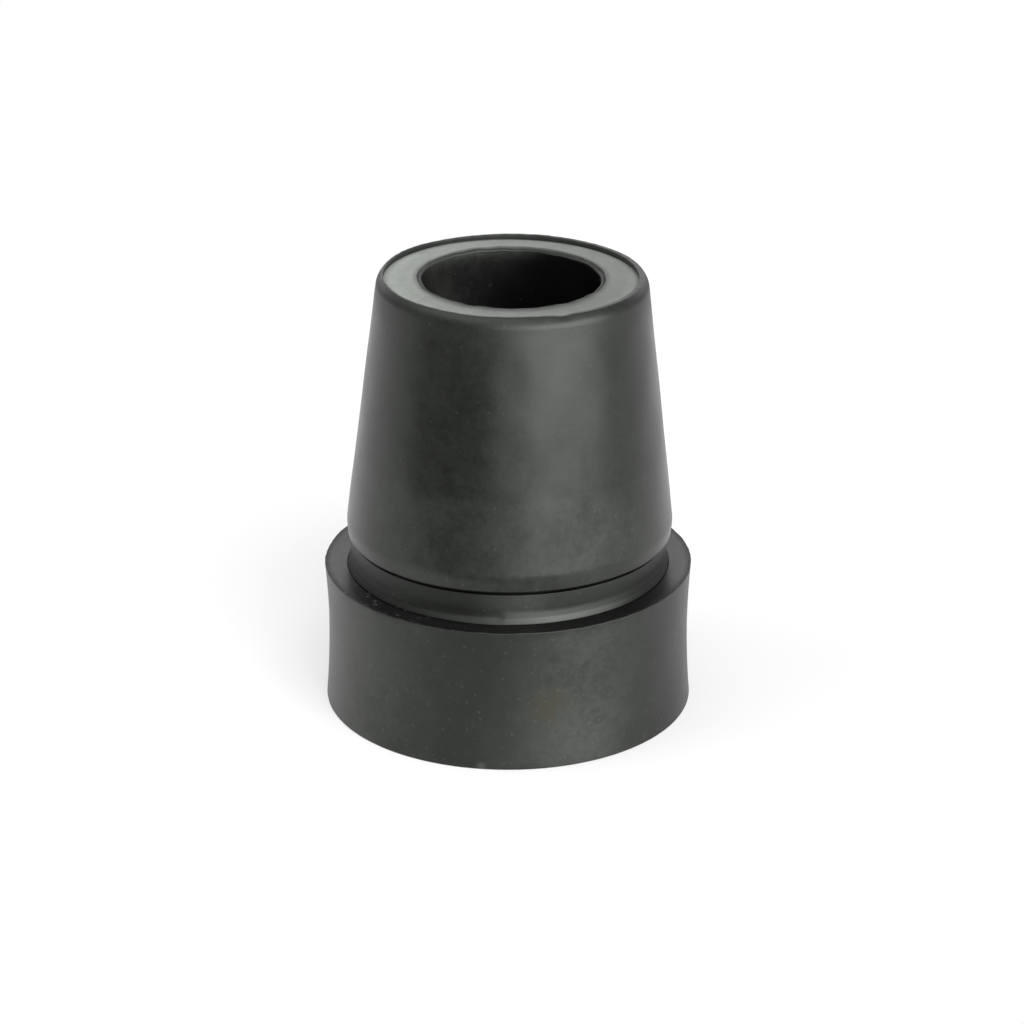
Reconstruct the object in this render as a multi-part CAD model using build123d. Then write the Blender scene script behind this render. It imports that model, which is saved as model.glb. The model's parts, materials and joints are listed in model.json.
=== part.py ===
from build123d import *
import os

# Rubber cane tip: one moulded ferrule that is pushed onto the foot of a walking cane.
# It is a body of revolution about +Z that stands on its tread at z = 0. Lengths are millimetres.

# Socket for the cane's shaft
bore_diameter = 18.5            # a little under a 19 mm shaft, so that the rubber grips it
floor_thickness = 14.0          # rubber between the shaft's end and the ground
mouth_chamfer = 0.3             # lead-in at the mouth

# Barrel
barrel_height = 27.85
foot_wall = 7.62                # rubber round the socket at the widest place of the cone
foot_band_height = 1.55         # band under the cone that draws in again
foot_band_inset = 0.15
foot_chamfer = 0.25

# Shoulder and raised rim round the mouth
mouth_wall = 3.95               # rubber round the socket at the crest of the rim
shoulder_height = 1.3
shoulder_inset = 0.6
rim_height = 0.55               # how far the rim stands above the mouth's face
rim_crest_width = 0.2
rim_lean = 0.2                  # how far the rim's inner wall leans towards the mouth

# Neck between the base and the barrel
neck_height = 3.45
neck_depth = 0.7                # how far the neck lies inside the foot of the cone
notch_depth = 0.55              # undercut that parts the neck from the barrel
notch_height = 0.35
lip_reach = 0.7                 # lip that rolls out at the foot of the neck
cove_height = 1.25              # hollow that sweeps from the lip up to the neck
crease_depth = 0.45             # thin undercut between the lip and the base
crease_height = 0.2

# Base
base_height = 15.2
base_ledge = 2.27               # how far the base stands out from the foot of the cone
base_flare = 0.11               # how far the sole stands out from the base's upper edge
waist_depth = 0.33              # how far the wall is drawn in between its two edges
sole_chamfer = 0.3

# Ring tread in the sole
tread_edge_land = 2.8           # outermost land, up to the first groove
tread_pad_radius = 6.15         # plain pad in the middle, up to the last groove
tread_groove_count = 3
tread_groove_width = 1.5
tread_groove_floor = 1.0        # width at the bottom of a groove, for draft
tread_groove_depth = 1.2
cut_overrun = 0.5

# Radii and heights that follow from the sizes above
bore_radius = bore_diameter / 2
foot_radius = bore_radius + foot_wall
crest_radius = bore_radius + mouth_wall
neck_radius = foot_radius - neck_depth
lip_radius = neck_radius + lip_reach
base_top_radius = foot_radius + base_ledge
base_radius = base_top_radius + base_flare
barrel_foot_z = base_height + neck_height
rim_z = barrel_foot_z + barrel_height
mouth_face_z = rim_z - rim_height


def base_outline():
    """Sole with a broken edge, waisted wall as one shallow curve, and flat ledge up to the crease."""
    sole = Polyline((0, 0), (base_radius - sole_chamfer, 0), (base_radius, sole_chamfer))
    # The curve goes half of the way to the point that pulls it in
    pull_radius = (base_radius + base_top_radius) / 2 - 2 * waist_depth
    pull = (pull_radius, (sole_chamfer + base_height) / 2)
    wall = Bezier(sole @ 1, pull, (base_top_radius, base_height))
    ledge = Line(wall @ 1, (lip_radius - crease_depth, base_height))
    return [sole, wall, ledge]


def neck_outline():
    """Crease up to the lip, cove that runs out into the neck's wall, and notch under the barrel."""
    lip = (lip_radius, base_height + crease_height)
    cove_top = (neck_radius, base_height + crease_height + cove_height)
    crease = Line((lip_radius - crease_depth, base_height), lip)
    cove = TangentArc(cove_top, lip, tangent=(0, -1))
    notch = Polyline(
        cove_top,
        (neck_radius, barrel_foot_z - notch_height),
        (neck_radius - notch_depth, barrel_foot_z),
    )
    return [crease, cove, notch]


def barrel_outline():
    """Underside, drawn-in foot band with a broken edge, cone, and shoulder as an arc tangent to it."""
    band_foot_radius = foot_radius - foot_band_inset
    side = Polyline(
        (neck_radius - notch_depth, barrel_foot_z),
        (band_foot_radius - foot_chamfer, barrel_foot_z),
        (band_foot_radius, barrel_foot_z + foot_chamfer),
        (foot_radius, barrel_foot_z + foot_band_height),
        (crest_radius + shoulder_inset, rim_z - shoulder_height),
    )
    shoulder = TangentArc(side @ 1, (crest_radius, rim_z), tangent=side % 1)
    return [side, shoulder]


def socket_outline():
    """Rim crest, the rim's leaning inner wall, the recessed mouth face, and the blind socket."""
    crest_inner_radius = crest_radius - rim_crest_width
    rim_and_socket = Polyline(
        (crest_radius, rim_z),
        (crest_inner_radius, rim_z),
        (crest_inner_radius - rim_lean, mouth_face_z),
        (bore_radius + mouth_chamfer, mouth_face_z),
        (bore_radius, mouth_face_z - mouth_chamfer),
        (bore_radius, floor_thickness),
        (0, floor_thickness),
    )
    return [rim_and_socket]


def turned(outline):
    """Solid that a closed outline of radius and height makes in one turn about the axis."""
    section = make_face([edge for run in outline for edge in run.edges()])
    return revolve(Plane.XZ * section, Axis.Z)


def tread_groove(outer_radius):
    """One ring groove: a drafted trapezium, wider below the sole by the same draft."""
    middle = outer_radius - tread_groove_width / 2
    floor_half = tread_groove_floor / 2
    draft = (tread_groove_width - tread_groove_floor) / 2 / tread_groove_depth
    mouth_half = tread_groove_width / 2 + draft * cut_overrun
    trapezium = Polyline(
        (middle - mouth_half, -cut_overrun),
        (middle + mouth_half, -cut_overrun),
        (middle + floor_half, tread_groove_depth),
        (middle - floor_half, tread_groove_depth),
        close=True,
    )
    return turned([trapezium])


axis_line = Line((0, floor_thickness), (0, 0))
cane_tip = turned(base_outline() + neck_outline() + barrel_outline() + socket_outline() + [axis_line])

first_groove = base_radius - tread_edge_land
last_groove = tread_pad_radius + tread_groove_width
groove_pitch = (first_groove - last_groove) / (tread_groove_count - 1)
for ring in range(tread_groove_count):
    cane_tip -= tread_groove(first_groove - ring * groove_pitch)

os.makedirs("parts", exist_ok=True)
export_step(cane_tip, "parts/cane_tip.step")
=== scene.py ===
"""Looks of the rubber cane tip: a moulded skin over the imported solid, its rubber, the studio and the camera."""

import json
import math

import bpy
import numpy as np
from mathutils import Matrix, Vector


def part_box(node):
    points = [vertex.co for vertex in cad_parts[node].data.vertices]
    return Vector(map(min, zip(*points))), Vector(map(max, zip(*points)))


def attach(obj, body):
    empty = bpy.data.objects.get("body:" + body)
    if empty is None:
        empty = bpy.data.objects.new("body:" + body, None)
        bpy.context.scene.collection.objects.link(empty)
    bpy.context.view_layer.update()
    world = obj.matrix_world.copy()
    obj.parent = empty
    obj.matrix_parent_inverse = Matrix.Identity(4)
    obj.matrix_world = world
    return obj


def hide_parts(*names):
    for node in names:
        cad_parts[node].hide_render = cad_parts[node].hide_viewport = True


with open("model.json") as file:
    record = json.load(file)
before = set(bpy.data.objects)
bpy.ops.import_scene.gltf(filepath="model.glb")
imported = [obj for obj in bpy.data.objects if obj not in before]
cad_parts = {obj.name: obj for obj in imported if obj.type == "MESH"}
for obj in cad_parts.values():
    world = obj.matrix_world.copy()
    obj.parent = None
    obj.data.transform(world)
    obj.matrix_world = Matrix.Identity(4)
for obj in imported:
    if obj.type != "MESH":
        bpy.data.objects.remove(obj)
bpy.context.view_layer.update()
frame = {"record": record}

MM = 0.001

# Sizes of the solid that the skin follows, in millimetres
_, high_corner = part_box("cane_tip")
socket = next(m for m in frame["record"]["mounts"] if m["name"] == "cane_socket")
SOLE_RADIUS = high_corner.x / MM
TIP_HEIGHT = high_corner.z / MM
BORE_RADIUS = socket["dims"]["r_mm"]
BLIND_END = socket["pos_m"][2] / MM - socket["dims"]["length_mm"] / 2

# Section of the moulding, in millimetres
BASE_HEIGHT = 15.2
BASE_TOP_RADIUS = SOLE_RADIUS - 0.05
WAIST_DEPTH = 0.33
LEDGE_HEIGHT = BASE_HEIGHT - 0.22
LIP_RADIUS = 16.8
NECK_RADIUS = 16.43
NOTCH_RADIUS = 15.8
BARREL_FOOT = 18.45
FOOT_RADIUS = 17.0
FOOT_BAND_TOP = 20.0
SHOULDER_RADIUS = 13.85
SHOULDER_HEIGHT = 45.8
CREST_RADIUS = 13.38
CREST_HEIGHT = TIP_HEIGHT - 0.08
CREST_WIDTH = 0.4
RIM_ROOT_RADIUS = 13.0
RIM_ROOT_HEIGHT = TIP_HEIGHT - 0.64
MOUTH_HEIGHT = TIP_HEIGHT - 0.35
FLASH_RADIUS = 9.62
FLASH_GROOVE = 0.1
GROOVE_OUTER_RADII = (7.65, 12.05, 16.45)
GROOVE_WIDTH = 1.5
GROOVE_DRAFT = 0.25
GROOVE_DEPTH = 1.2
GROOVE_EDGE_ROUNDING = 0.12
GROOVE_FLOOR_ROUNDING = 0.2

# Grid of the skin; a lead is the short run between an arc and the point beside it
ROUND_STEPS = 244
ARC_STEPS = 5
LONGEST_STEP = 0.62
LEAD_SHARE = 0.05
LONGEST_LEAD = 0.06

# Unevenness of the real moulding, in millimetres and degrees; the front faces angle -90
BARREL_LEAN = 0.67
BARREL_SHIFT = 0.11
MOUTH_OVAL = 0.12
MOUTH_OVAL_ANGLE = 75
MOUTH_OVAL_BOTTOM = 40
MOUTH_OVAL_REACH = 11.2
MOUTH_SHIFT = 0.13
MOUTH_RAGGED = 0.025
FLASH_REACH = 0.08
FLASH_SUNK = 0.2
FLASH_SUNK_LEAST = 0.35
FLASH_ANGLE = 40
FLASH_SPREAD = 65
RECESS_SHIFT = 0.16
RECESS_RADII = (11.4, 12.6)
RIM_RADII = (12.4, 12.9)
RIM_RAGGED = 0.03
RIM_NICK_ANGLE = -68
RIM_NICK_SPREAD = 4
RIM_NICK_DEPTH = 0.12
LEDGE_EDGE_RAGGED = 0.02
LEDGE_EDGE_SPREAD = 0.22
COVE_STEP = 0.12
COVE_STEP_RISE = 0.5
COVE_STEP_ANGLE = -91.5
COVE_STEP_WIDTH = 1.2
COVE_STEP_END = (-45, -15)
WALL_WAVE = 0.012
WALL_WAVE_COUNT = 14
WALL_WAVE_RADII = (11, 13)
WALL_WAVE_START = (0.3, 1.5)
WALL_WAVE_END = (44, 45)

# Finish of the rubber by place, some of it painted light and painted shade: amounts from 0 up, lengths in
# millimetres, a SIDE as (angle, spread) in degrees
# Width of the mouth face's fade out from the flash ring, at the back, and the extra width at the front
MOUTH_INNER_FADE_BACK = 0.4
MOUTH_INNER_FADE_FRONT = 1.1
MOUTH_DUSTY = 0.62
# Painted light on the mouth face: it is lighter to the left, to the back and towards its outer edge by these
# three amounts
MOUTH_PAINTED_LIGHT_LEFT = 0.14
MOUTH_PAINTED_LIGHT_BACK = 0.09
MOUTH_PAINTED_LIGHT_OUTER = 0.3
MOUTH_OUTER_RADII = (11.2, 12.6)
MOUTH_MATT = 2.6
SHOULDER_MATT_HEIGHTS = (42, 45.6)
NECK_TOP = 18.3
NECK_MATT = 1.8
NECK_SHINE = 0.9
NECK_SHINE_SIDE = (-72, 12)
# Painted light on the neck's front
NECK_PAINTED_LIGHT = 0.7
NECK_PAINTED_LIGHT_SIDE = (-85, 12)
LEDGE_MATT = 0.6
LEDGE_DUSTY_SIDE = (-138, 28)
BASE_WALL_RADIUS = 18
BASE_MATT = 0.9
# Share of the darker rubber on the base's wall
BASE_DARKER_SHARE = 0.5
BASE_DUSTY = 0.22
BASE_EDGE_MATT = 1.6
BASE_EDGE_SPREAD = 0.15
# The base's wall is paler to the left, and a painted highlight lies on its right front
BASE_PALE_LEFT = 0.42
BASE_PAINTED_HIGHLIGHT = 0.5
BASE_PAINTED_HIGHLIGHT_SIDE = (-66, 17)
SOCKET_LOWEST = 2
# Painted light on the socket's left-back wall and towards its top, where light falls in
SOCKET_PAINTED_LIGHT = 0.6
SOCKET_PAINTED_LIGHT_SIDE = (147, 30)
SOCKET_TOP_PAINTED_LIGHT = 1.1
SOCKET_TOP_PAINTED_LIGHT_SIDE = (112, 32)
SOCKET_TOP_HEIGHTS = (44.5, 46.1)
# Painted light on the barrel's foot and lower wall, with a painted highlight on its right front
FOOT_PAINTED_LIGHT = 0.16
FOOT_PAINTED_HIGHLIGHT = 0.12
FOOT_PAINTED_HIGHLIGHT_SIDE = (-62, 25)
FOOT_PAINTED_LIGHT_RADIUS = 16
FOOT_PAINTED_LIGHT_START = 19
FOOT_PAINTED_LIGHT_FADE = (20, 38)

# Colours of the rubber; the pale tone and the darker rubber also carry painted light and painted shade
RUBBER = (0.0035, 0.0039, 0.0034, 1)
BLOOM = (0.0115, 0.0125, 0.0113, 1)
# Pale tone, used as painted light on the base, the neck, the socket and the barrel's foot, and as a paler base
# wall to the left
PALE_TONE_AND_PAINTED_LIGHT = (0.048, 0.051, 0.047, 1)
# Darker rubber, used as painted shade on the ledge and in the socket and as a darker tone on the base's wall
DARKER_RUBBER_AND_PAINTED_SHADE = (0.0015, 0.0017, 0.0015, 1)
# Pale dust on the mouth face, which also carries painted light
MOUTH_DUST_AND_PAINTED_LIGHT = (0.29, 0.309, 0.287, 1)
DUST = (0.07, 0.074, 0.067, 1)
STAIN = (0.024, 0.019, 0.005, 1)
GLOSS_TINT = (0.94, 1.0, 0.93, 1)

# Gloss and grain of the rubber, lengths in metres
RUBBER_IOR = 1.45
ROUGHNESS = 0.275
BLOOM_ROUGHNESS = 0.07
MATT_ROUGHNESS = 0.1
GRAIN_STRENGTH = 0.25
GRAIN_DEPTH = 0.00002
CRUMBLED = 0.0005

# Two marks on the base, places and sizes in millimetres
STAIN_SPOT = (4.4, -18.4, 6.8)
STAIN_SIZE = 3.2
STAIN_AMOUNT = 0.75
SCUFF_SPOT = (-2.7, -19.0, 0.3)
SCUFF_SIZE = 0.7
SCUFF_AMOUNT = 0.5

# Floor sheet: its reach from the axis and its height in metres, its grey, and how much of it is plain white
FLOOR_SIDE = 3.0
FLOOR_FRONT = 0.048
FLOOR_BACK = 0.2
FLOOR_HEIGHT = -0.00002
FLOOR_GREY = (0.9, 0.9, 0.9, 1)
FLOOR_WHITE = 1.0
FLOOR_SHARE = 0.45

# Strength of the surroundings on matt surfaces and in reflections
ROOM_LIGHT = 0.69
ROOM_GLOSS = 0.36

# Lamps: name, radiance of the face, azimuth, elevation, width and height, in degrees as seen from the tip.
# The first lamps only show in reflections, the last ones only light matt surfaces.
BOX_DISTANCE = 0.85
GLOSS_BOXES = (
    ("key_box", 8.8, 45, 8, 60, 26),
    ("strip_box", 4.5, 4, 9, 30, 24),
    ("top_left_box", 1.8, -55, 52, 70, 40),
    ("top_right_box", 0.9, 40, 45, 80, 34),
    ("back_box", 1.0, 180, 26, 100, 52),
)
MATT_BOXES = (
    ("sun_box", 7.0, 24, 46, 34, 30),
    ("fill_box", 2.3, -80, 40, 40, 30),
)

# Camera, from the photograph's perspective, in degrees and millimetres
VIEW_ELEVATION = 22.84
VIEW_DISTANCE = 334.7
VIEW_TARGET = (0.406, 0.0, 20.27)
LENS = 112.63
SENSOR = 36.0


class Socket:
    """An output of a shader node. Arithmetic on sockets and numbers adds Math nodes to its tree."""

    def __init__(self, tree, output):
        self.tree = tree
        self.output = output

    @classmethod
    def node(cls, tree, kind, settings=(), sockets=(), out=0):
        """Any node: its type, its settings, the values or links of its inputs. Gives one of its outputs."""
        made = tree.nodes.new(kind)
        for name, value in dict(settings).items():
            setattr(made, name, value)
        for name, value in dict(sockets).items():
            if isinstance(value, Socket):
                tree.links.new(value.output, made.inputs[name])
            else:
                made.inputs[name].default_value = value
        return cls(tree, made.outputs[out] if made.outputs else None)

    def other(self, out):
        """Another output of the same node."""
        return Socket(self.tree, self.output.node.outputs[out])

    def math(self, operation, *operands):
        """A Math node on sockets or numbers."""
        return Socket.node(self.tree, "ShaderNodeMath", {"operation": operation}, enumerate(operands))

    def __add__(self, value):
        return self.math("ADD", self, value)

    def __radd__(self, value):
        return self.math("ADD", value, self)

    def __sub__(self, value):
        return self.math("SUBTRACT", self, value)

    def __rsub__(self, value):
        return self.math("SUBTRACT", value, self)

    def __mul__(self, value):
        return self.math("MULTIPLY", self, value)

    def __rmul__(self, value):
        return self.math("MULTIPLY", value, self)

    def ramp(self, low, high):
        """0 below low, 1 above high, smooth between them."""
        sockets = {"Value": self, "From Min": low, "From Max": high}
        return Socket.node(self.tree, "ShaderNodeMapRange", {"interpolation_type": "SMOOTHSTEP"}, sockets)

    def tint(self, dark, light):
        """The colour dark where this is 0, light where it is 1."""
        sockets = {0: self, 6: dark, 7: light}
        return Socket.node(self.tree, "ShaderNodeMix", {"data_type": "RGBA"}, sockets, out=2)


def rounded_outline(corners):
    """Outline through corners of (radius, height, rounding). Every inner corner becomes an arc that is tangent
    to both of its runs, with a point close before and after it. Runs have steps of LONGEST_STEP at most."""
    corners = np.array(corners, float)
    place, rounding = corners[:, :2], corners[1:-1, 2:]
    run = np.diff(place, axis=0)
    reach = np.linalg.norm(run, axis=1, keepdims=True)
    ahead = run / reach
    before, after = ahead[:-1], ahead[1:]
    across = before[:, 0] * after[:, 1] - before[:, 1] * after[:, 0]
    turn = np.arctan2(across, (before * after).sum(1))[:, None]
    tangent = rounding * np.tan(np.abs(turn) / 2)
    start = place[1:-1] - before * tangent
    side = np.sign(turn) * np.stack([-before[:, 1], before[:, 0]], axis=1)
    angle = np.linspace(0, 1, ARC_STEPS) * np.abs(turn)
    forwards = np.sin(angle)[..., None] * before[:, None]
    sideways = (1 - np.cos(angle))[..., None] * side[:, None]
    arc = start[:, None] + rounding[:, None] * (forwards + sideways)
    lead = np.minimum(np.minimum(reach[:-1], reach[1:]) * LEAD_SHARE, LONGEST_LEAD)
    lead_in = start[:, None] - (before * lead)[:, None]
    lead_out = arc[:, -1:] + (after * lead)[:, None]
    arc = np.concatenate([lead_in, arc, lead_out], axis=1)
    path = np.concatenate([place[:1], arc.reshape(-1, 2), place[-1:]])
    leg = np.diff(path, axis=0)
    steps = np.maximum(1, np.ceil(np.linalg.norm(leg, axis=1) / LONGEST_STEP)).astype(int)
    along = np.arange(steps.sum()) - np.repeat(np.cumsum(steps) - steps, steps)
    share = (along / np.repeat(steps, steps))[:, None]
    divided = np.repeat(path[:-1], steps, axis=0) + share * np.repeat(leg, steps, axis=0)
    return np.concatenate([divided, path[-1:]])


def tread_corners():
    """Corners of the sole from its centre outwards: a pad, then ring grooves with drafted walls."""
    corners = [(0, 0, 0)]
    for outer in GROOVE_OUTER_RADII:
        inner = outer - GROOVE_WIDTH
        corners += [
            (inner, 0, GROOVE_EDGE_ROUNDING),
            (inner + GROOVE_DRAFT, GROOVE_DEPTH, GROOVE_FLOOR_ROUNDING),
            (outer - GROOVE_DRAFT, GROOVE_DEPTH, GROOVE_FLOOR_ROUNDING),
            (outer, 0, GROOVE_EDGE_ROUNDING),
        ]
    return corners


def moulding_outline():
    """Half section of the tip, from the middle of the sole round the outside to the middle of the blind end.
    The base's wall is drawn in by a parabola, 4 WAIST_DEPTH s (1 - s) at the share s of its height."""
    corners = tread_corners() + [
        # Lower and upper edge of the base
        (SOLE_RADIUS + 0.06, 0, 0.12),
        (BASE_TOP_RADIUS, BASE_HEIGHT, 0.08),
        # Inner end of the dished ledge, crease, rolled lip and cove
        (LIP_RADIUS + 0.06, LEDGE_HEIGHT, 0.03),
        (LIP_RADIUS - 0.1, LEDGE_HEIGHT - 0.3, 0.02),
        (LIP_RADIUS, LEDGE_HEIGHT + 0.06, 0.28),
        (LIP_RADIUS - 0.2, BASE_HEIGHT + 0.42, 1.2),
        (LIP_RADIUS - 0.32, BASE_HEIGHT + 1.1, 2.5),
        # Neck, and the notch that parts it from the barrel
        (NECK_RADIUS, BARREL_FOOT - 0.35, 0.03),
        (NOTCH_RADIUS, BARREL_FOOT - 0.2, 0.04),
        (NOTCH_RADIUS, BARREL_FOOT, 0.04),
        # Drawn-in foot, cone and shoulder of the barrel
        (FOOT_RADIUS - 0.15, BARREL_FOOT, 0.3),
        (FOOT_RADIUS, FOOT_BAND_TOP, 4.0),
        (SHOULDER_RADIUS, SHOULDER_HEIGHT, 1.9),
        # Crest and inner wall of the rim
        (CREST_RADIUS, CREST_HEIGHT, 0.16),
        (CREST_RADIUS - CREST_WIDTH, CREST_HEIGHT, 0.1),
        (RIM_ROOT_RADIUS, RIM_ROOT_HEIGHT, 0.06),
        # Mouth face, groove and flash ring
        (FLASH_RADIUS + 0.1, MOUTH_HEIGHT, 0.04),
        (FLASH_RADIUS, MOUTH_HEIGHT - FLASH_GROOVE, 0.03),
        (FLASH_RADIUS - 0.07, MOUTH_HEIGHT + 0.02, 0.05),
        # Socket
        (BORE_RADIUS, MOUTH_HEIGHT - 0.06, 0.23),
        (BORE_RADIUS, BLIND_END, 0.8),
        (0, BLIND_END, 0),
    ]
    outline = rounded_outline(corners)
    share = np.clip(outline[:, 1] / BASE_HEIGHT, 0, 1)
    drawn_in = 4 * WAIST_DEPTH * share * (1 - share)
    outline[:, 0] -= np.where(outline[:, 0] > BASE_TOP_RADIUS - 0.2, drawn_in, 0)
    return outline


def smooth_step(low, high, value):
    """0 below low, 1 above high, and a smooth S between them."""
    share = np.clip((value - low) / (high - low), 0, 1)
    return share * share * (3 - 2 * share)


def bell(value, spread):
    """1 at 0 and falling off on both sides, to 1/e at the spread."""
    return np.exp(-((value / spread) ** 2))


def ripple(angle, first, last, seed):
    """Wave round the tip, about -1 to 1: cosines of the orders first to last with chance phases."""
    order = np.arange(first, last + 1)
    phase = np.random.default_rng(seed).uniform(0, 2 * np.pi, len(order))
    return np.cos(np.outer(angle, order) + phase).sum(axis=1) / math.sqrt(len(order))


def away_from(angle, degrees):
    """Angle from a direction round the tip, in degrees from -180 to 180."""
    return np.degrees(np.angle(np.exp(1j * (angle - math.radians(degrees)))))


def wall_waves(angle, height):
    """Shallow waves over the walls, about -1 to 1: cosines of chance orders round and along the axis."""
    chance = np.random.default_rng(21)
    orders = chance.integers(3, 22, WALL_WAVE_COUNT)
    pitches = chance.uniform(-0.9, 0.9, WALL_WAVE_COUNT)
    phases = chance.uniform(0, 2 * np.pi, WALL_WAVE_COUNT)
    waves = (np.cos(o * angle + p * height + phase) for o, p, phase in zip(orders, pitches, phases))
    return sum(waves) / math.sqrt(WALL_WAVE_COUNT)


def uneven(radius, height, angle):
    """Radius and height of the section with the marks of the real moulding: an oval, ragged mouth with a sunk
    flash ring, a recess that is set to the left, a worn rim with a nick, a ragged edge round the ledge, a step
    in the neck's cove, and shallow waves in the walls. Each is a size times the smooth steps and bells that
    place it."""
    mouth = smooth_step(MOUTH_OVAL_BOTTOM, MOUTH_HEIGHT - 0.1, height)
    mouth = mouth * (1 - smooth_step(FLASH_RADIUS + 0.3, MOUTH_OVAL_REACH, radius))
    edge = smooth_step(MOUTH_HEIGHT - 0.5, MOUTH_HEIGHT - 0.1, height) * mouth
    oval = MOUTH_OVAL * np.cos(2 * (angle - math.radians(MOUTH_OVAL_ANGLE))) - MOUTH_SHIFT * np.cos(angle)
    ragged = ripple(angle, 3, 12, 1) + 0.4 * ripple(angle, 20, 90, 2)
    grown = mouth * oval + edge * MOUTH_RAGGED * ragged
    lifted = edge * MOUTH_RAGGED * ripple(angle, 2, 30, 3)

    ring = edge * (1 - smooth_step(FLASH_RADIUS, FLASH_RADIUS + 0.08, radius))
    sunk = FLASH_SUNK_LEAST + (1 - FLASH_SUNK_LEAST) * bell(away_from(angle, FLASH_ANGLE), FLASH_SPREAD)
    lifted -= ring * sunk * FLASH_SUNK * (1 + 0.25 * ripple(angle, 4, 20, 8))
    grown -= ring * sunk * FLASH_REACH * (radius < FLASH_RADIUS - 0.02)

    recess = smooth_step(*RECESS_RADII, radius) * (radius < CREST_RADIUS - CREST_WIDTH / 2)
    grown -= recess * (height > RIM_ROOT_HEIGHT - 0.2) * RECESS_SHIFT * np.cos(angle)
    rim = smooth_step(RIM_ROOT_HEIGHT, CREST_HEIGHT, height) * smooth_step(*RIM_RADII, radius)
    nick = bell(away_from(angle, RIM_NICK_ANGLE), RIM_NICK_SPREAD)
    worn = RIM_RAGGED * (ripple(angle, 2, 9, 4) + 0.35 * ripple(angle, 15, 80, 5))
    lifted += rim * (worn - RIM_NICK_DEPTH * nick)

    ledge_edge = bell(height - BASE_HEIGHT, LEDGE_EDGE_SPREAD)
    ledge_edge = ledge_edge * smooth_step(BASE_TOP_RADIUS - 0.5, BASE_TOP_RADIUS, radius)
    grown += ledge_edge * LEDGE_EDGE_RAGGED * ripple(angle, 12, 90, 6)
    lifted += ledge_edge * LEDGE_EDGE_RAGGED * ripple(angle, 6, 60, 7)

    cove = bell(height - BASE_HEIGHT - COVE_STEP_RISE, COVE_STEP_RISE) * (radius < LIP_RADIUS + 0.1)
    past_step = away_from(angle, COVE_STEP_ANGLE)
    left = smooth_step(0, COVE_STEP_WIDTH, -past_step) * smooth_step(*COVE_STEP_END, past_step)
    grown -= cove * COVE_STEP * left

    outer = smooth_step(*WALL_WAVE_RADII, radius) * smooth_step(*WALL_WAVE_START, height)
    outer = outer * (1 - smooth_step(*WALL_WAVE_END, height))
    return radius + grown + outer * WALL_WAVE * wall_waves(angle, height), height + lifted


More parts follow.
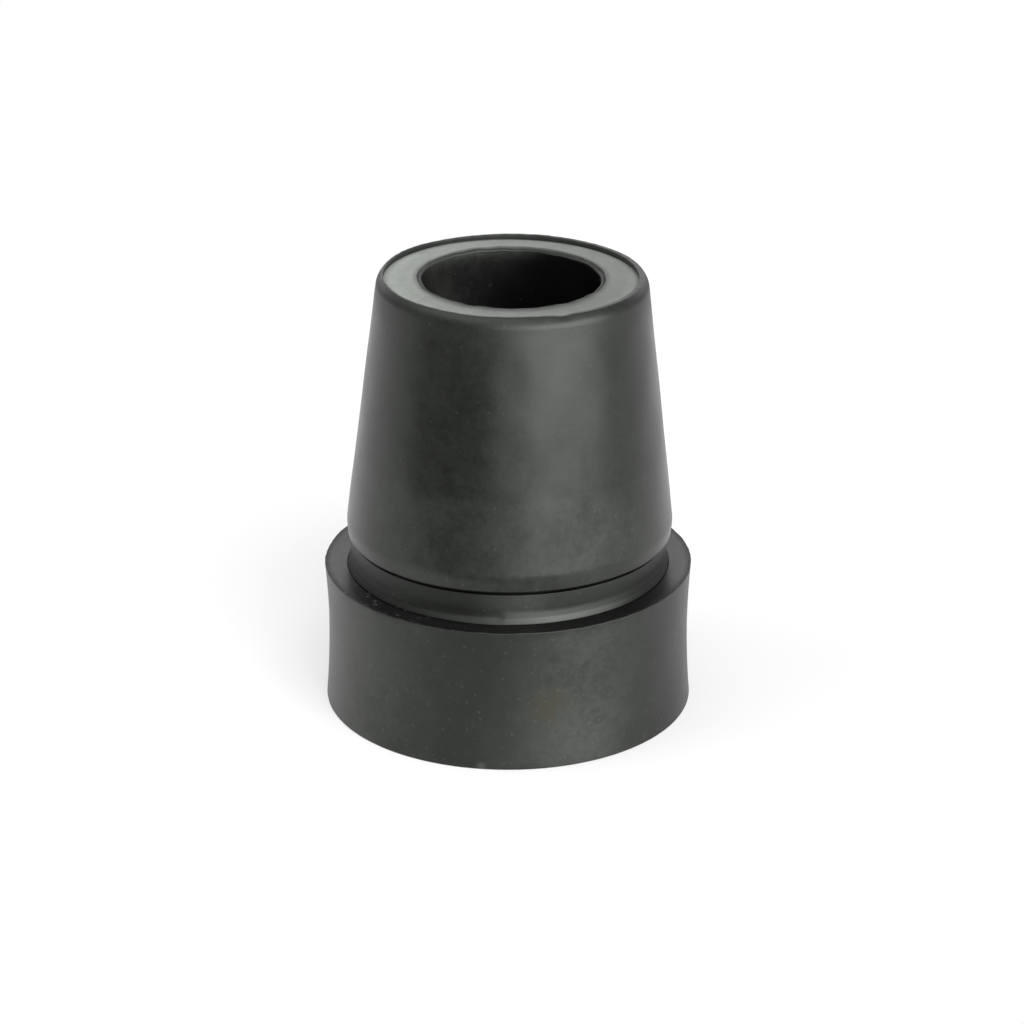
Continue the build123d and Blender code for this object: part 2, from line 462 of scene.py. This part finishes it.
def finish_masks(radius, height, angle):
    """Where the rubber's finish changes, as products of limits, smooth steps and bells: the mouth face's pale
    dust with painted light, the duller neck, painted shade on the ledge and in the socket and a darker base wall,
    all matt places, the places with coarse dust, a pale tone on the base's wall towards the left, and painted
    light on the base's right front, the neck's front, the socket's left and back, and the barrel's foot."""
    def near(side):
        degrees, spread = side
        return bell(away_from(angle, degrees), spread)

    inner_fade = MOUTH_INNER_FADE_BACK + MOUTH_INNER_FADE_FRONT * smooth_step(0.2, 1, -np.sin(angle))
    mouth_face = smooth_step(FLASH_RADIUS - 0.12, FLASH_RADIUS + inner_fade, radius)
    mouth_face = mouth_face * (height > RIM_ROOT_HEIGHT - 0.1)
    mouth_face = mouth_face * (1 - smooth_step(RIM_ROOT_RADIUS - 0.1, RIM_ROOT_RADIUS, radius))
    # Painted light on the mouth face: lighter to the left, to the back and towards its outer edge
    mouth_dust_and_light = MOUTH_DUSTY - MOUTH_PAINTED_LIGHT_LEFT * np.cos(angle) + MOUTH_PAINTED_LIGHT_BACK * np.sin(angle)
    mouth_face = mouth_face * mouth_dust_and_light
    mouth_face = mouth_face * (1 + MOUTH_PAINTED_LIGHT_OUTER * smooth_step(*MOUTH_OUTER_RADII, radius))
    mouth_zone = (height > RIM_ROOT_HEIGHT - 0.1) * (radius < RIM_ROOT_RADIUS - 0.05)
    shoulder = smooth_step(*SHOULDER_MATT_HEIGHTS, height) * (radius > RIM_ROOT_RADIUS - 0.05)

    neck = (height > LEDGE_HEIGHT + 0.02) * (1 - smooth_step(NECK_TOP, BARREL_FOOT, height))
    neck = neck * (radius > NOTCH_RADIUS - 0.1) * (radius < LIP_RADIUS + 0.01)
    ledge = (height > LEDGE_HEIGHT - 0.3) * (height < BASE_HEIGHT + 0.02) * (1 - neck)
    ledge = ledge * (radius > NECK_RADIUS) * (radius < BASE_TOP_RADIUS - 0.08)
    base_wall = (radius > BASE_WALL_RADIUS) * (1 - smooth_step(BASE_HEIGHT - 0.4, BASE_HEIGHT, height))
    base_wall = base_wall * (1 - ledge)
    base_edge = bell(height - BASE_HEIGHT, BASE_EDGE_SPREAD) * (radius > BASE_TOP_RADIUS - 0.3)
    inside = (radius < BORE_RADIUS + 0.05) * (height > SOCKET_LOWEST)
    foot = (radius > FOOT_PAINTED_LIGHT_RADIUS) * smooth_step(BARREL_FOOT - 0.1, FOOT_PAINTED_LIGHT_START, height)
    foot = foot * (1 - smooth_step(*FOOT_PAINTED_LIGHT_FADE, height))

    matt = neck * (NECK_MATT - NECK_SHINE * near(NECK_SHINE_SIDE)) + ledge * LEDGE_MATT
    matt = matt + base_wall * BASE_MATT + base_edge * BASE_EDGE_MATT + shoulder + mouth_zone * MOUTH_MATT
    # Painted light: a highlight on the base's right front, light on the neck's front, in the socket and on the
    # barrel's foot; the base's wall is also paler to the left
    base_left = smooth_step(0.2, 1, -np.cos(angle))
    painted_light_and_pale = base_wall * (BASE_PALE_LEFT * base_left + BASE_PAINTED_HIGHLIGHT * near(BASE_PAINTED_HIGHLIGHT_SIDE))
    painted_light_and_pale = painted_light_and_pale + neck * NECK_PAINTED_LIGHT * near(NECK_PAINTED_LIGHT_SIDE)
    socket_top = SOCKET_TOP_PAINTED_LIGHT * near(SOCKET_TOP_PAINTED_LIGHT_SIDE) * smooth_step(*SOCKET_TOP_HEIGHTS, height)
    painted_light_and_pale = painted_light_and_pale + inside * (SOCKET_PAINTED_LIGHT * near(SOCKET_PAINTED_LIGHT_SIDE) + socket_top)
    painted_light_and_pale = painted_light_and_pale + foot * (FOOT_PAINTED_LIGHT + FOOT_PAINTED_HIGHLIGHT * near(FOOT_PAINTED_HIGHLIGHT_SIDE))
    return {
        "mouth_face": mouth_face,
        "neck": neck,
        # Painted shade on the ledge and in the socket, and a darker tone on the base's wall
        "painted_shade_and_darker": ledge + inside + base_wall * BASE_DARKER_SHARE,
        "ledge": ledge,
        "matt": matt,
        "dusty": ledge * near(LEDGE_DUSTY_SIDE) + base_wall * BASE_DUSTY,
        "painted_light_and_pale": painted_light_and_pale,
    }


def moulded_skin():
    """Surface of the tip: the outline carried round the axis, point (r cos a, r sin a, z) for each outline
    point and each angle a, made uneven. The barrel above the neck then leans and shifts a little, as the rubber
    has set. A fan of triangles closes each end at the axis."""
    outline = moulding_outline()
    rows = len(outline) - 2
    angle = np.linspace(0, 2 * np.pi, ROUND_STEPS, endpoint=False)
    radius, height = (np.broadcast_to(outline[1:-1, k, None], (rows, ROUND_STEPS)) for k in (0, 1))
    masks = finish_masks(radius, height, angle)
    radius, height = uneven(radius, height, angle)
    raised = smooth_step(BASE_HEIGHT, BARREL_FOOT, height)
    lean = raised * math.tan(math.radians(BARREL_LEAN))
    x = radius * np.cos(angle)
    y = radius * np.sin(angle)
    height = height - lean * x * smooth_step(BARREL_FOOT, TIP_HEIGHT, height)
    x = x + raised * BARREL_SHIFT + lean * (height - BASE_HEIGHT)
    grid = np.stack([x, y, height], axis=-1).reshape(-1, 3)
    poles = np.array([[0, 0, outline[0, 1]], [0, 0, outline[-1, 1]]])
    points = np.concatenate([grid, poles]) * MM
    index = np.arange(rows * ROUND_STEPS).reshape(rows, ROUND_STEPS)
    nearer, farther = index, np.roll(index, -1, axis=1)
    quads = np.stack([nearer[:-1], farther[:-1], farther[1:], nearer[1:]], axis=-1).reshape(-1, 4)
    sole_fan = np.stack([farther[0], nearer[0], np.full(ROUND_STEPS, rows * ROUND_STEPS)], axis=-1)
    end_fan = np.stack([nearer[-1], farther[-1], np.full(ROUND_STEPS, rows * ROUND_STEPS + 1)], axis=-1)
    mesh = bpy.data.meshes.new("moulded_skin")
    mesh.from_pydata(points.tolist(), [], quads.tolist() + sole_fan.tolist() + end_fan.tolist())
    mesh.shade_smooth()
    for name, mask in masks.items():
        values = np.concatenate([mask.reshape(-1), [0, 0]]).astype(np.float32)
        mesh.attributes.new(name, "FLOAT", "POINT").data.foreach_set("value", values)
    skin = bpy.data.objects.new("moulded_skin", mesh)
    bpy.context.scene.collection.objects.link(skin)
    return skin


def black_rubber():
    """Satin black rubber: a dark body under a cloudy, mottled bloom with fine grain and faint dust. The neck is
    duller, the ledge and the socket darkened with painted shade, the base's wall a little darker overall and
    paler to the left, the mouth face pale with dust and painted light, and painted light lies on the base's right
    front, the neck's front, the socket and the barrel's foot. The base has a stain and a scuff. Scales are per
    metre."""
    material = bpy.data.materials.new("black_rubber")
    material.use_nodes = True
    tree = material.node_tree
    tree.nodes.clear()
    place = Socket.node(tree, "ShaderNodeTexCoord", out="Object")

    def mask(name):
        return Socket.node(tree, "ShaderNodeAttribute", {"attribute_name": name}, out="Fac")

    def noise(scale, detail, roughness):
        sockets = {"Vector": place, "Scale": scale, "Detail": detail, "Roughness": roughness}
        return Socket.node(tree, "ShaderNodeTexNoise", sockets=sockets)

    def specks(scale, size, share):
        cells = Socket.node(tree, "ShaderNodeTexVoronoi", sockets={"Vector": crumbled, "Scale": scale})
        chance = Socket.node(tree, "ShaderNodeSeparateColor", sockets={0: cells.other("Color")})
        return (1 - cells.ramp(size * 0.3, size)) * chance.ramp(1 - share, 1 - share * 0.4)

    def patch(spot, size):
        ends = {0: place, 1: tuple(value * MM for value in spot)}
        away = Socket.node(tree, "ShaderNodeVectorMath", {"operation": "DISTANCE"}, ends, out="Value")
        return 1 - away.ramp(size * 0.2 * MM, size * MM)

    neck = mask("neck")
    ledge = mask("ledge")
    painted_light_and_pale = mask("painted_light_and_pale")
    broad = noise(scale=140.0, detail=4.0, roughness=0.6)
    close = noise(scale=520.0, detail=5.0, roughness=0.65)
    mottle = noise(scale=1500.0, detail=3.0, roughness=0.6)
    grain = noise(scale=3200.0, detail=3.0, roughness=0.6)
    crumbs = noise(scale=2400.0, detail=2.0, roughness=0.5).other("Color")
    crumbled = Socket.node(tree, "ShaderNodeVectorMath", {"operation": "MULTIPLY_ADD"}, {
        0: crumbs,
        1: (CRUMBLED, CRUMBLED, CRUMBLED),
        2: place,
    })
    bloom = (broad * 0.55 + close * 0.45).ramp(0.37, 0.63) * 0.6 + mottle.ramp(0.35, 0.65) * 0.3
    bloom = (bloom + grain.ramp(0.35, 0.7) * 0.2) * (1 - neck * 0.6)
    dust = specks(scale=700.0, size=0.13, share=0.3) * 0.5 + specks(scale=1900.0, size=0.3, share=0.07) * 0.6
    dust = dust * (0.55 + painted_light_and_pale * 0.9 + ledge * 1.2) + specks(scale=1300.0, size=0.3, share=0.55) * mask("dusty")
    body = bloom.tint(RUBBER, BLOOM)
    # Painted shade: the ledge and the socket take the darker rubber, and the base's wall partly
    body = mask("painted_shade_and_darker").tint(body, DARKER_RUBBER_AND_PAINTED_SHADE)
    # Painted light on the base's right front, the neck's front, the socket and the barrel's foot, and a pale tone
    # on the base's wall to the left
    body = (painted_light_and_pale * (0.5 + bloom)).tint(body, PALE_TONE_AND_PAINTED_LIGHT)
    # Pale dust on the mouth face, with painted light that makes it lighter to the left, the back and the outer
    # edge
    body = (mask("mouth_face") * (0.75 + bloom * 0.3)).tint(body, MOUTH_DUST_AND_PAINTED_LIGHT)
    body = (patch(STAIN_SPOT, STAIN_SIZE) * close.ramp(0.4, 0.56) * STAIN_AMOUNT).tint(body, STAIN)
    body = (dust + patch(SCUFF_SPOT, SCUFF_SIZE) * SCUFF_AMOUNT).tint(body, DUST)
    bump = Socket.node(tree, "ShaderNodeBump", sockets={
        "Strength": GRAIN_STRENGTH,
        "Distance": GRAIN_DEPTH,
        "Height": grain,
    })
    shader = Socket.node(tree, "ShaderNodeBsdfPrincipled", sockets={
        "Base Color": body,
        "Roughness": ROUGHNESS + bloom * BLOOM_ROUGHNESS + mask("matt") * MATT_ROUGHNESS,
        "IOR": RUBBER_IOR,
        "Specular Tint": GLOSS_TINT,
        "Normal": bump,
    })
    Socket.node(tree, "ShaderNodeOutputMaterial", sockets={"Surface": shader})
    return material


def white_floor():
    """Plain pale sheet a hair under the sole, which ends in front of the tip and behind it. Seen by the camera
    or in a reflection, a share of it is plain white. The rest is lit by the lamps and keeps the shadow."""
    mesh = bpy.data.meshes.new("floor")
    edges = [
        (-FLOOR_SIDE, -FLOOR_FRONT),
        (FLOOR_SIDE, -FLOOR_FRONT),
        (FLOOR_SIDE, FLOOR_BACK),
        (-FLOOR_SIDE, FLOOR_BACK),
    ]
    mesh.from_pydata([(x, y, FLOOR_HEIGHT) for x, y in edges], [], [(0, 1, 2, 3)])
    floor = bpy.data.objects.new("floor", mesh)
    bpy.context.scene.collection.objects.link(floor)
    material = bpy.data.materials.new("white_floor")
    material.use_nodes = True
    tree = material.node_tree
    tree.nodes.clear()
    material.cycles.emission_sampling = "NONE"
    path = Socket.node(tree, "ShaderNodeLightPath")
    camera = path.other("Is Camera Ray")
    seen = path.math("MAXIMUM", camera, path.other("Is Glossy Ray"))
    seen = path.math("MAXIMUM", seen, path.other("Is Transmission Ray"))
    lit = Socket.node(tree, "ShaderNodeBsdfDiffuse", sockets={"Color": FLOOR_GREY})
    white = Socket.node(tree, "ShaderNodeEmission", sockets={"Strength": FLOOR_WHITE})
    mixed = Socket.node(tree, "ShaderNodeMixShader", sockets={0: seen * FLOOR_SHARE, 1: lit, 2: white})
    Socket.node(tree, "ShaderNodeOutputMaterial", sockets={"Surface": mixed})
    mesh.materials.append(material)


def studio_world():
    """Surroundings: white to the camera, a plain even light to matt surfaces, dimmer in reflections."""
    world = bpy.data.worlds.new("studio")
    bpy.context.scene.world = world
    world.use_nodes = True
    tree = world.node_tree
    tree.nodes.clear()
    path = Socket.node(tree, "ShaderNodeLightPath")
    camera = path.other("Is Camera Ray")
    glossy = path.other("Is Glossy Ray")
    strength = ROOM_LIGHT + camera * (1 - ROOM_LIGHT) + glossy * (ROOM_GLOSS - ROOM_LIGHT)
    sky = Socket.node(tree, "ShaderNodeBackground", sockets={"Color": (1, 1, 1, 1), "Strength": strength})
    Socket.node(tree, "ShaderNodeOutputWorld", sockets={"Surface": sky})


def soft_box(name, radiance, azimuth, elevation, width, height):
    """Rectangular lamp aimed at the tip's middle. Azimuth 0 is on the camera's side and 90 to its right."""
    width, height = (2 * BOX_DISTANCE * math.tan(math.radians(side / 2)) for side in (width, height))
    turn, lift = math.radians(azimuth), math.radians(elevation)
    away = Vector((math.sin(turn) * math.cos(lift), -math.cos(turn) * math.cos(lift), math.sin(lift)))
    lamp = bpy.data.lights.new(name, "AREA")
    lamp.shape = "RECTANGLE"
    lamp.size = width
    lamp.size_y = height
    lamp.energy = radiance * math.pi * width * height
    box = bpy.data.objects.new(name, lamp)
    box.location = away * BOX_DISTANCE + Vector((0, 0, TIP_HEIGHT * MM / 2))
    box.rotation_euler = away.to_track_quat("Z", "Y").to_euler()
    box.visible_camera = False
    bpy.context.scene.collection.objects.link(box)
    return box


def photo_camera():
    """Camera at the photograph's height, distance and lens, aimed a little beside the base's axis."""
    lift = math.radians(VIEW_ELEVATION)
    camera = bpy.data.cameras.new("camera")
    camera.lens = LENS
    camera.sensor_width = SENSOR
    camera.clip_start = 0.01
    view = bpy.data.objects.new("camera", camera)
    away = Vector((0, -math.cos(lift), math.sin(lift)))
    view.location = (Vector(VIEW_TARGET) + away * VIEW_DISTANCE) * MM
    view.rotation_euler = (math.pi / 2 - lift, 0, 0)
    bpy.context.scene.collection.objects.link(view)
    bpy.context.scene.camera = view


skin = moulded_skin()
skin.data.materials.append(black_rubber())
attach(skin, "root")
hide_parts("cane_tip")

white_floor()
studio_world()
for lamp in GLOSS_BOXES:
    soft_box(*lamp).visible_diffuse = False
for lamp in MATT_BOXES:
    soft_box(*lamp).visible_glossy = False
photo_camera()
bpy.context.scene.view_settings.view_transform = "Standard"
